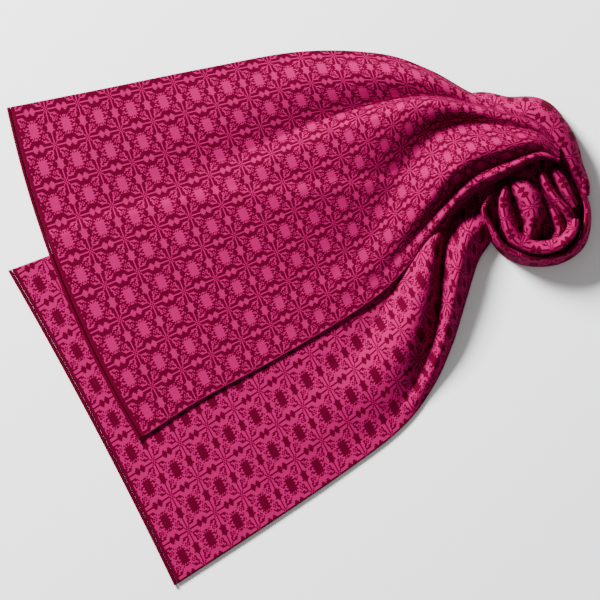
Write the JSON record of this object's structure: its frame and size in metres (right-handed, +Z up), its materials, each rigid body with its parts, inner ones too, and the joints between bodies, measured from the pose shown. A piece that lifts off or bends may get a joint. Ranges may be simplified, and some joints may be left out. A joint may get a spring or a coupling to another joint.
{
  "type": "knitted scarf, laid out with its end gathered into a rosette",
  "caption": "Double-faced knitted scarf laid flat: two fanned end panels on each other, gathered at a neck into a folded rosette.",
  "frame": {"origin": "centre of the scarf's bounding box, on the surface it lies on", "axes": "+X along the scarf from its open ends to the rosette, +Y across it towards the upper panel's free edge, +Z up off the surface"},
  "size_m": [0.4963, 0.4549, 0.047],
  "materials": {
    "knit_light_face": "matte fine merino jacquard, pink stars on a crimson lattice",
    "knit_dark_face": "matte fine merino jacquard, crimson stars with pink lines",
    "knit_edge": "matte rolled knitted edge in crimson"
  },
  "bodies": {
    "root": {"panel_top": "knit_light_face", "hem_top": "knit_edge", "panel_under": "knit_dark_face", "hem_under": "knit_edge", "shoulder_wrap": "knit_dark_face", "outer_wrap": "knit_dark_face", "cup_roll": "knit_dark_face", "centre_fold": "knit_dark_face", "ridge_fold": "knit_dark_face", "upper_fold": "knit_dark_face", "inner_fold": "knit_dark_face", "side_fold": "knit_dark_face", "hidden_layers": "knit_dark_face"}
  },
  "joints": []
}
